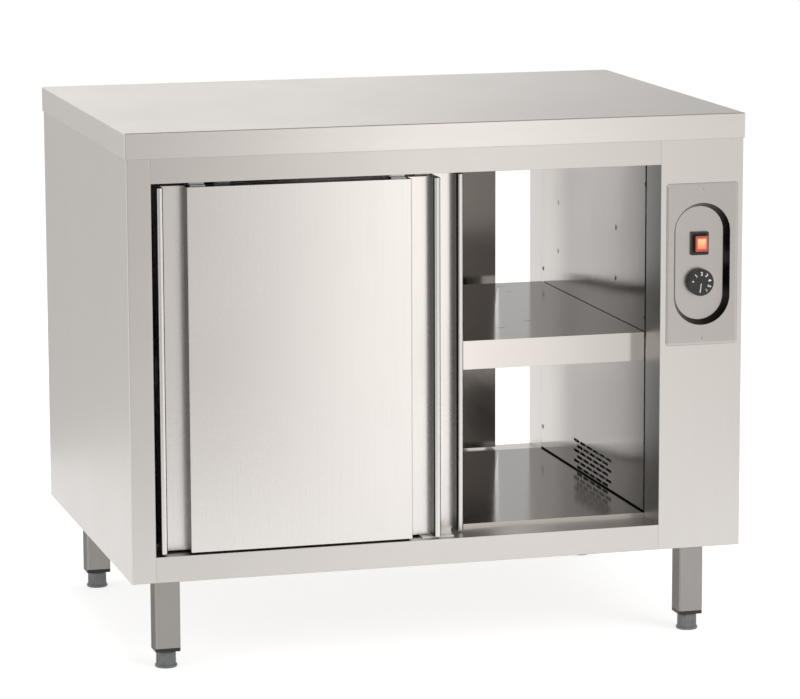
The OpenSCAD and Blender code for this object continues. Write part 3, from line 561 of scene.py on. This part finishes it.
# Lit rocker: clear red plastic, with the lamp's pale orange patch behind it
def litMaterial(name, look):
    material, tree, shader, spot = startMaterial(name, look)
    low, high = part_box("switch_rocker")
    middle = (low + high) / 2
    half = (high - low) / 2
    split = addNode(tree, "SeparateXYZ")
    tree.links.new(spot, split.inputs[0])
    masks = []
    wide, tall = look["core"]
    for axis, centre, reach in (("X", middle.x, half.x * wide), ("Z", middle.z, half.z * tall)):
        away = mathNode(tree, "ABSOLUTE", mathNode(tree, "SUBTRACT", split.outputs[axis], centre), 0)
        masks.append(mapRange(tree, away, reach * (1 + litSet["soft"]), reach * (1 - litSet["soft"]), 0, 1))
    core = mathNode(tree, "MULTIPLY", masks[0], masks[1])
    foot, crown = middle.z - half.z * litSet["below"], middle.z + half.z * litSet["above"]
    height = mapRange(tree, split.outputs["Z"], foot, crown, 0, 1)
    ripple = addNode(tree, "TexNoise")
    ripple.inputs["Scale"].default_value = litSet["ripple"]
    tree.links.new(spot, ripple.inputs["Vector"])
    patch = mixColour(tree, height, look["low"], look["high"])
    wave = ripple.outputs["Fac"]
    patch = mixColour(tree, mathNode(tree, "MULTIPLY", wave, litSet["rippleShare"]), patch, look["colour"])
    tree.links.new(mixColour(tree, core, look["colour"], patch), shader.inputs["Base Color"])
    tree.links.new(mixColour(tree, core, look["rim"], patch), shader.inputs["Emission Color"])
    shader.inputs["Emission Strength"].default_value = look["glow"]
    tree.links.new(mapRange(tree, wave, *noiseSpan, *litSet["rough"]), shader.inputs["Roughness"])
    addBump(tree, shader, wave, litSet["depth"])
    return material


def edgeLine(axis, edge, width):
    return axis, edge + width, edge + width * steelSet["seamCore"]


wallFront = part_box("chamber_wall")[0].y
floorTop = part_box("floor_liner")[1].z

finishes = {
    # The fold factor paints the folds of each sheet darker: painted shade
    "worktop_steel": (steelMaterial, {"colour": (0.66, 0.635, 0.61), "grain": "X", "rough": 0.3,
                                      "contrast": 0.01, "edge": 0.0009, "fold": 0.5}),
    "body_steel": (steelMaterial, {"colour": (0.61, 0.585, 0.56), "grain": "Z", "rough": 0.33,
                                   "contrast": 0.01, "edge": 0.0009, "fold": 0.5}),
    "rail_steel": (steelMaterial, {"colour": (0.59, 0.565, 0.54), "grain": "X", "rough": 0.33,
                                   "contrast": 0.01, "edge": 0.0009, "fold": 0.5}),
    # The door skins paint the side walls of their grips near-black: painted shade
    "door_steel": (steelMaterial, {"colour": (0.69, 0.665, 0.645), "grain": "Z", "rough": 0.25,
                                   "contrast": 0.008, "fold": 0.6, "shadedWalls": (0.035, 0.033, 0.031)}),
    # The inner sheets of the doors wear a darker copy of the door steel: painted shade inside the cabinet
    "door_back_steel": (steelMaterial, {"colour": (0.34, 0.32, 0.305), "grain": "Z", "rough": 0.12,
                                        "contrast": 0.01, "wiped": 0.05}),
    # The liner's seams at the wall's front edge and along the floor are painted dark: painted shade of the
    # gaps
    "liner_steel": (steelMaterial, {"colour": (0.56, 0.53, 0.505), "grain": "Z", "rough": 0.17,
                                    "contrast": 0.01, "wiped": 0.03, "spread": 0.9, "spreadAxis": "Z",
                                    "seams": (edgeLine("Y", wallFront, 0.007),
                                              edgeLine("Z", floorTop, 0.003))}),
    # The shelf, floor and ceiling wear a darker copy of the steel with a dimmer grazing tint: painted shade
    # inside the chamber; their front-facing lips are painted lighter as painted light
    "shelf_steel": (steelMaterial, {"colour": (0.40, 0.38, 0.36), "grain": "X", "rough": 0.12,
                                    "contrast": 0.01, "lips": (0.6, 0.575, 0.55), "grazing": 0.64}),
    # The control plate paints its side walls dark too: painted shade
    "plate_steel": (steelMaterial, {"colour": (0.47, 0.45, 0.43), "grain": "Z", "rough": 0.26,
                                    "contrast": 0.01, "fold": 0.7, "shadedWalls": (0.05, 0.046, 0.042)}),
    # The legs wear a darker copy of the steel with a dark grazing tint, so their sides read dark: painted
    # shade
    "leg_steel": (steelMaterial, {"colour": (0.31, 0.295, 0.28), "grain": "Z", "rough": 0.3,
                                  "contrast": 0.02, "grazing": 0.4}),
    "screw_steel": (steelMaterial, {"colour": (0.5, 0.48, 0.46), "grain": "Y", "rough": 0.16,
                                    "contrast": 0.06, "edge": 0.0003, "fold": 0.3}),
    "zinc": (platedMaterial, {"colour": (0.6, 0.61, 0.62), "rough": 0.34}),
    "heater_sheath": (platedMaterial, {"colour": (0.2, 0.17, 0.15), "rough": 0.5, "patch": 90}),
    "foot_grey": (mouldedMaterial, {"colour": (0.2, 0.205, 0.21), "rough": 0.42, "metal": 0.6}),
    "black_plastic": (mouldedMaterial, {"colour": (0.012, 0.012, 0.012), "rough": 0.4}),
    "knob_plastic": (mouldedMaterial, {"colour": (0.014, 0.013, 0.013), "rough": 0.46}),
    "black_rubber": (mouldedMaterial, {"colour": (0.02, 0.02, 0.02), "rough": 0.72, "pebble": 900}),
    "nylon": (mouldedMaterial, {"colour": (0.74, 0.72, 0.67), "rough": 0.36, "worn": 0.3}),
    "dial_white": (mouldedMaterial, {"colour": (0.85, 0.84, 0.82), "rough": 0.5, "worn": 0.1}),
    "insulation": (woolMaterial, {"colour": (0.62, 0.52, 0.22), "hollow": (0.34, 0.26, 0.1)}),
    "board": (boardMaterial, {"colour": (0.36, 0.24, 0.13), "chip": (0.58, 0.44, 0.27)}),
    "lit_rocker": (litMaterial, {"colour": (0.3, 0.04, 0.03), "rim": (0.28, 0.05, 0.035),
                                 "high": (1.0, 0.5, 0.2), "low": (0.8, 0.13, 0.08), "core": (0.62, 0.6),
                                 "glow": 0.85}),
}
materials = {name: make(name, look) for name, (make, look) in finishes.items()}
print(len(materials), "finishes made")

# Which finish each node of the frame wears; the grain follows the sheet it was cut from
plainFinish = {
    "worktop": "worktop_steel", "worktop_core": "board", "side_insulation": "insulation",
    "front_top_rail": "rail_steel", "back_top_rail": "rail_steel", "base_pan": "rail_steel",
    "left_side_panel": "body_steel", "right_side_panel": "body_steel",
    "left_liner": "liner_steel", "chamber_wall": "liner_steel", "ceiling_liner": "shelf_steel",
    "floor_liner": "shelf_steel", "shelf": "shelf_steel", "shelf_pegs": "screw_steel",
    "leg_caps": "black_plastic", "bottom_guides": "nylon", "door_stops": "black_rubber",
    "control_plate": "plate_steel", "switch_housing": "black_plastic", "switch_rocker": "lit_rocker",
    "thermostat_knob": "knob_plastic", "thermostat": "zinc", "heater_element": "heater_sheath",
    "terminal_block": "nylon", "cable_gland": "black_plastic", "panel_screws": "screw_steel",
}
partFinish = (("_skin", "door_steel"), ("_liner", "door_back_steel"), ("roller", "nylon"),
              ("leg_", "leg_steel"), ("foot_", "foot_grey"))


def finishOf(node):
    if node in plainFinish:
        return plainFinish[node]
    return next((finish for part, finish in partFinish if part in node), "zinc")


for nodeName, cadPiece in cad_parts.items():
    finish = materials[finishOf(nodeName)]
    if not cadPiece.data.materials:
        cadPiece.data.materials.append(finish)
    for index in range(len(cadPiece.data.materials)):
        cadPiece.data.materials[index] = finish
print("every node has its finish")


def addPiece(name, shape, finish, body):
    mesh = bpy.data.meshes.new(name)
    bmesh.ops.recalc_face_normals(shape, faces=shape.faces)
    shape.to_mesh(mesh)
    shape.free()
    for face in mesh.polygons:
        face.use_smooth = False
    mesh.materials.append(materials[finish])
    piece = bpy.data.objects.new(name, mesh)
    scene.collection.objects.link(piece)
    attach(piece, body)
    return piece


# An object's mesh with its modifiers or its curve worked out
def shapeOf(piece):
    return bpy.data.meshes.new_from_object(piece.evaluated_get(bpy.context.evaluated_depsgraph_get()))


# Dial marks on the knob's face: a dot for off, then plain numbers, and the line that points at them
dial = {
    "radius": 14.2 * mm,
    "height": 5.4 * mm,
    "capShare": 0.7,
    "thicken": 0.18 * mm,
    "raise": 0.12 * mm,
    "dotAt": 171,
    "dotRadius": 1.3 * mm,
    "dotSteps": 24,
    "numberAt": (128, 88, 52, 14, -24, -55),
    "lineTurn": -8,
    "line": (1.5 * mm, 16 * mm),
    "lineWidth": 1.4 * mm,
    "lineRound": 0.08 * mm,
}


def onKnobFace(angle, radius):
    low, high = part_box("thermostat_knob")
    turn = math.radians(angle)
    return Vector(((low.x + high.x) / 2 + radius * math.cos(turn), low.y,
                   (low.z + high.z) / 2 + radius * math.sin(turn)))


def numberShape(text):
    curve = bpy.data.curves.new("number", "FONT")
    curve.body = text
    curve.size = dial["height"] / dial["capShare"]
    curve.extrude = dial["raise"]
    curve.offset = dial["thicken"]
    curve.align_x = "CENTER"
    curve.align_y = "CENTER"
    holder = bpy.data.objects.new("number", curve)
    scene.collection.objects.link(holder)
    mesh = shapeOf(holder)
    bpy.data.objects.remove(holder)
    return mesh


def makeDialMarks():
    shape = bmesh.new()
    upright = Matrix.Rotation(math.radians(90), 4, "X")
    for number, angle in enumerate(dial["numberAt"], start=1):
        mesh = numberShape(str(number))
        lean = Matrix.Rotation(math.radians(angle - 90), 4, "Z")
        mesh.transform(Matrix.Translation(onKnobFace(angle, dial["radius"])) @ upright @ lean)
        shape.from_mesh(mesh)
    dotPlace = Matrix.Translation(onKnobFace(dial["dotAt"], dial["radius"])) @ upright
    bmesh.ops.create_cone(shape, cap_ends=True, segments=dial["dotSteps"], radius1=dial["dotRadius"],
                          radius2=dial["dotRadius"], depth=2 * dial["raise"], matrix=dotPlace)
    start, end = dial["line"]
    ends = [onKnobFace(-90 + dial["lineTurn"], reach) for reach in (start, end)]
    place = (Matrix.Translation((ends[0] + ends[1]) / 2) @ upright
             @ Matrix.Rotation(math.radians(dial["lineTurn"]), 4, "Z")
             @ Matrix.Diagonal((dial["lineWidth"], end - start, 2 * dial["raise"], 1)))
    line = bmesh.ops.create_cube(shape, size=1, matrix=place)
    edges = list({edge for vert in line["verts"] for edge in vert.link_edges})
    bmesh.ops.bevel(shape, geom=edges, offset=dial["lineRound"], affect="EDGES", segments=2, profile=0.5,
                    material=-1)
    marks = addPiece("dial_marks", shape, "dial_white", "knob")


makeDialMarks()
print("dial marked")

# Rocker of the switch: a black block that reaches out nearly to the face of the control plate,
# with the lit cap on its front

rockerSet = {"behindFace": 0.8 * mm, "cap": 1.4 * mm, "sunk": 0.6 * mm, "rim": 0.9 * mm, "round": 0.7 * mm}


def blockShape(low, high, rounding):
    shape = bmesh.new()
    middle = (low + high) / 2
    place = Matrix.Translation(middle) @ Matrix.Diagonal((*(high - low), 1))
    bmesh.ops.create_cube(shape, size=1, matrix=place)
    bmesh.ops.bevel(shape, geom=shape.edges[:], offset=rounding, affect="EDGES", segments=3, profile=0.5,
                    material=-1)
    return shape


def makeRocker():
    low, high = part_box("switch_rocker")
    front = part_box("control_plate")[0].y + rockerSet["behindFace"]
    step = front + rockerSet["cap"]
    blockBody = blockShape(Vector((low.x, step, low.z)), high, rockerSet["round"])
    block = addPiece("rocker_block", blockBody, "black_plastic", "rocker")
    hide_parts("switch_rocker")
    rim = Vector((rockerSet["rim"], 0, rockerSet["rim"]))
    capLow = Vector((low.x, front, low.z)) + rim
    capHigh = Vector((high.x, step + rockerSet["sunk"], high.z)) - rim
    cap = addPiece("rocker_cap", blockShape(capLow, capHigh, rockerSet["round"]), "lit_rocker", "rocker")


makeRocker()
print("rocker made")

# Screws of the liners and the plate, with domed heads and crossed recesses, where the frame has its screws

screwSet = {
    "head": 3.9 * mm,
    "seat": 0.75 * mm,
    "dome": 0.5 * mm,
    "plateDome": 0.2 * mm,
    "shank": 1.9 * mm,
    "recess": (4.6 * mm, 0.9 * mm, 0.8 * mm),
}
plugSet = {"head": 4.8 * mm, "dome": 1.2 * mm, "shank": 3.6 * mm, "length": 5 * mm, "pitch": 83 * mm}
turned = {"steps": 24, "outline": ((0, 1), (0.6, 0.8), (0.9, 0.3), (1, 0)), "join": 0.01 * mm}


def spunHead(head, dome, seat, shank, length):
    shape = bmesh.new()
    outline = [(head * across, dome * up) for across, up in turned["outline"]]
    outline += [(head, -seat), (shank, -seat), (shank, -length), (0, -length)]
    verts = [shape.verts.new((across, 0, up)) for across, up in outline]
    edges = [shape.edges.new(pair) for pair in zip(verts, verts[1:])]
    bmesh.ops.spin(shape, geom=verts + edges, cent=(0, 0, 0), axis=(0, 0, 1), angle=2 * math.pi,
                   steps=turned["steps"], use_merge=True)
    bmesh.ops.remove_doubles(shape, verts=shape.verts, dist=turned["join"])
    return shape


def turnedTo(direction, place):
    turn = Vector((0, 0, 1)).rotation_difference(direction)
    return Matrix.Translation(place) @ turn.to_matrix().to_4x4()


def addTurned(whole, part, matrix):
    bmesh.ops.transform(part, matrix=matrix, verts=part.verts)
    held = bpy.data.meshes.new("held")
    part.to_mesh(held)
    part.free()
    whole.from_mesh(held)
    bpy.data.meshes.remove(held)


# The low and high corners of each closed shape in a node of the frame, in a steady order
def islandBoxes(node):
    shape = bmesh.new()
    shape.from_mesh(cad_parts[node].data)
    bmesh.ops.remove_doubles(shape, verts=shape.verts, dist=turned["join"])
    left = set(shape.verts)
    found = []
    while left:
        grown, edge = set(), [left.pop()]
        while edge:
            grown.update(edge)
            edge = list({link.other_vert(vert) for vert in edge for link in vert.link_edges} & left)
            left.difference_update(edge)
        low = Vector(min(vert.co[k] for vert in grown) for k in range(3))
        high = Vector(max(vert.co[k] for vert in grown) for k in range(3))
        found.append((low, high))
    shape.free()
    return sorted(found, key=lambda box: tuple(box[0]))


def addRecess(cutters, direction, top):
    reach, width, depth = screwSet["recess"]
    for size in ((reach, width), (width, reach)):
        cutter = bmesh.new()
        bmesh.ops.create_cube(cutter, size=1, matrix=Matrix.Diagonal((*size, depth * 2, 1)))
        addTurned(cutters, cutter, turnedTo(direction, top))


def cutRecesses(screws, cutters):
    tool = bpy.data.meshes.new("recess_tool")
    cutters.to_mesh(tool)
    cutters.free()
    holder = bpy.data.objects.new("recess_tool", tool)
    scene.collection.objects.link(holder)
    cut = screws.modifiers.new("recess", "BOOLEAN")
    cut.operation = "DIFFERENCE"
    cut.use_self = True
    cut.object = holder
    solid = shapeOf(screws)
    screws.modifiers.clear()
    screws.data = solid
    bpy.data.objects.remove(holder)


# A screw of the plate keeps its dome within the frame's length; one of the walls has it on top
def makeScrews():
    heads, cutters = bmesh.new(), bmesh.new()
    for low, high in islandBoxes("panel_screws"):
        size = high - low
        if size.y > size.x:
            direction = Vector((0, -1, 0))
            length, dome = size.y, screwSet["plateDome"]
            within = dome
        else:
            direction = Vector((-1 if low.x > 0 else 1, 0, 0))
            length, dome = size.x, screwSet["dome"]
            within = 0
        base = (low + high) / 2 + direction * (length / 2 - within)
        head = spunHead(screwSet["head"], dome, screwSet["seat"], screwSet["shank"], length - within)
        addTurned(heads, head, turnedTo(direction, base))
        addRecess(cutters, direction, base + direction * dome)
    screws = addPiece("domed_screws", heads, "screw_steel", "root")
    cutRecesses(screws, cutters)
    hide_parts("panel_screws")


# Button plugs that close the spare peg holes above the shelf, two rows on each wall
def makePlugs():
    low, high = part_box("shelf_pegs")
    pegRadius = (high.z - low.z) / 2
    plugs = bmesh.new()
    for side, wall in ((-1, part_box("left_liner")[1].x), (1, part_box("chamber_wall")[0].x)):
        for y in (low.y + pegRadius, high.y - pegRadius):
            for row in (1, 2):
                place = Vector((wall, y, (low.z + high.z) / 2 + row * plugSet["pitch"]))
                plug = spunHead(plugSet["head"], plugSet["dome"], 0, plugSet["shank"], plugSet["length"])
                addTurned(plugs, plug, turnedTo(Vector((-side, 0, 0)), place))
    piece = addPiece("hole_plugs", plugs, "screw_steel", "root")


makeScrews()
makePlugs()
print("screws and plugs made")
